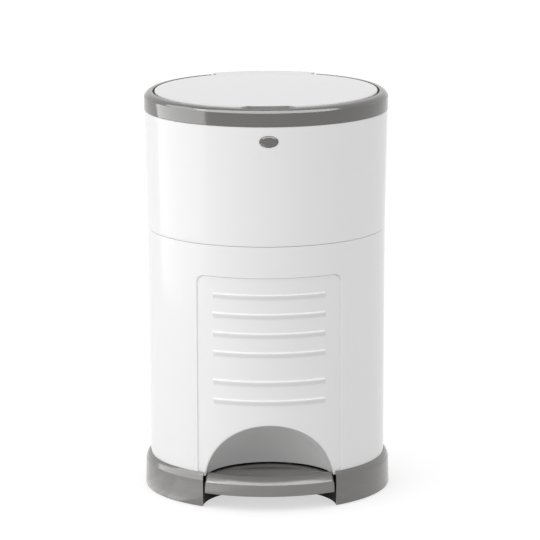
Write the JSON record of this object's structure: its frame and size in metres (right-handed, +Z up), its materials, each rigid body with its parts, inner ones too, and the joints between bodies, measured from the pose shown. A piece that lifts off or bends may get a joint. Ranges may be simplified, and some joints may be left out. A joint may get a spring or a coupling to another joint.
{
  "type": "nappy bin",
  "caption": "Tall round pedal bin for nappies: tapered white body on a grey skirt, grey rim ring, flat hinged lid, sprung odour trap and film cassette.",
  "frame": {"origin": "centre of the footprint, on the surface the bin stands on", "axes": "+Z up; the pedal and button face -Y; +X to the right seen from the front"},
  "size_m": [0.3034, 0.3031, 0.4974],
  "materials": {
    "white_shell": "satin-gloss moulded white plastic",
    "grey_trim": "satin-gloss moulded warm grey plastic",
    "inner_grey": "matt moulded grey plastic",
    "dark_plastic": "matt dark glass-filled plastic",
    "steel_parts": "plain bright steel",
    "black_rubber": "matt soft rubber",
    "clear_cassette": "pale translucent plastic",
    "liner_film": "pleated thin film"
  },
  "bodies": {
    "lower_bin": {"lower_shell": "white_shell", "bin_floor": "inner_grey", "base_skirt": "grey_trim", "base_plate": "dark_plastic", "rubber_feet": "black_rubber", "base_screws": "steel_parts", "pedal_pivot_pin": "steel_parts", "pedal_spring": "steel_parts", "rod_channel": "inner_grey", "latch_striker": "steel_parts", "top_hinge_pin": "steel_parts"},
    "pedal": {"pedal_tread": "grey_trim", "pedal_lever": "dark_plastic", "pedal_screws": "steel_parts"},
    "lower_lift_rod": {"lower_rod": "steel_parts"},
    "top_section": {"upper_shell": "white_shell", "rim_ring": "grey_trim", "funnel_insert": "inner_grey", "throat_seal": "black_rubber", "cassette_shelf": "white_shell", "cassette_tub": "clear_cassette", "cassette_cap": "clear_cassette", "liner_pack": "liner_film", "cutter_housing": "inner_grey", "cutter_blade": "steel_parts", "latch_pin": "steel_parts", "latch_spring": "steel_parts", "lid_hinge_bracket": "inner_grey", "lid_hinge_pin": "steel_parts", "rod_guide": "inner_grey", "door_pins": "steel_parts", "door_springs": "steel_parts"},
    "lid": {"lid_top": "white_shell", "lid_inner_plate": "inner_grey", "lid_screws": "steel_parts", "lid_seal": "black_rubber", "lid_crank": "dark_plastic"},
    "upper_lift_rod": {"upper_rod": "steel_parts"},
    "button": {"release_button": "grey_trim"},
    "latch": {"latch_lever": "dark_plastic"},
    "left_trap": {"trap_door_left": "inner_grey"},
    "right_trap": {"trap_door_right": "inner_grey"}
  },
  "joints": [
    {"name": "top_opens_back", "type": "hinge", "parent": "lower_bin", "child": "top_section", "pos_m": [0, 0.1464, 0.326], "axis": [-1, 0, 0], "range_deg": [0, 95]},
    {"name": "lid_opens", "type": "hinge", "parent": "top_section", "child": "lid", "pos_m": [0, 0.14, 0.484], "axis": [-1, 0, 0], "range_deg": [0, 80]},
    {"name": "upper_rod_lifts", "type": "slide", "parent": "top_section", "child": "upper_lift_rod", "axis": [0, 0, 1], "range_m": [0, 0.0156]},
    {"name": "lower_rod_lifts", "type": "slide", "parent": "lower_bin", "child": "lower_lift_rod", "axis": [0, 0, 1], "range_m": [0, 0.0156]},
    {"name": "pedal_presses", "type": "hinge", "parent": "lower_bin", "child": "pedal", "pos_m": [0, -0.028, 0.022], "axis": [1, 0, 0], "range_deg": [0, 5.6]},
    {"name": "button_presses", "type": "slide", "parent": "top_section", "child": "button", "axis": [0, 1, 0], "range_m": [0, 0.003], "stiffness_N_per_m": 100, "springref_m": -0.01},
    {"name": "latch_releases", "type": "hinge", "parent": "top_section", "child": "latch", "pos_m": [0, -0.1345, 0.39], "axis": [-1, 0, 0], "range_deg": [0, 2.8], "deforming": ["latch_spring"]},
    {"name": "left_trap_opens", "type": "hinge", "parent": "top_section", "child": "left_trap", "pos_m": [-0.08, 0, 0.446], "axis": [0, 1, 0], "range_deg": [0, 60], "stiffness_Nm_per_rad": 0.02, "springref_deg": -68.75},
    {"name": "right_trap_opens", "type": "hinge", "parent": "top_section", "child": "right_trap", "pos_m": [0.08, 0, 0.446], "axis": [0, -1, 0], "range_deg": [0, 60], "stiffness_Nm_per_rad": 0.02, "springref_deg": -68.75}
  ],
  "couplings": [
    {"joint": "upper_rod_lifts", "follows": "lid_opens", "m_per_rad": 0.011049},
    {"joint": "lower_rod_lifts", "follows": "lid_opens", "m_per_rad": 0.011049},
    {"joint": "pedal_presses", "follows": "lid_opens", "ratio": 0.06949},
    {"joint": "latch_releases", "follows": "button_presses", "rad_per_m": 15.552}
  ]
}
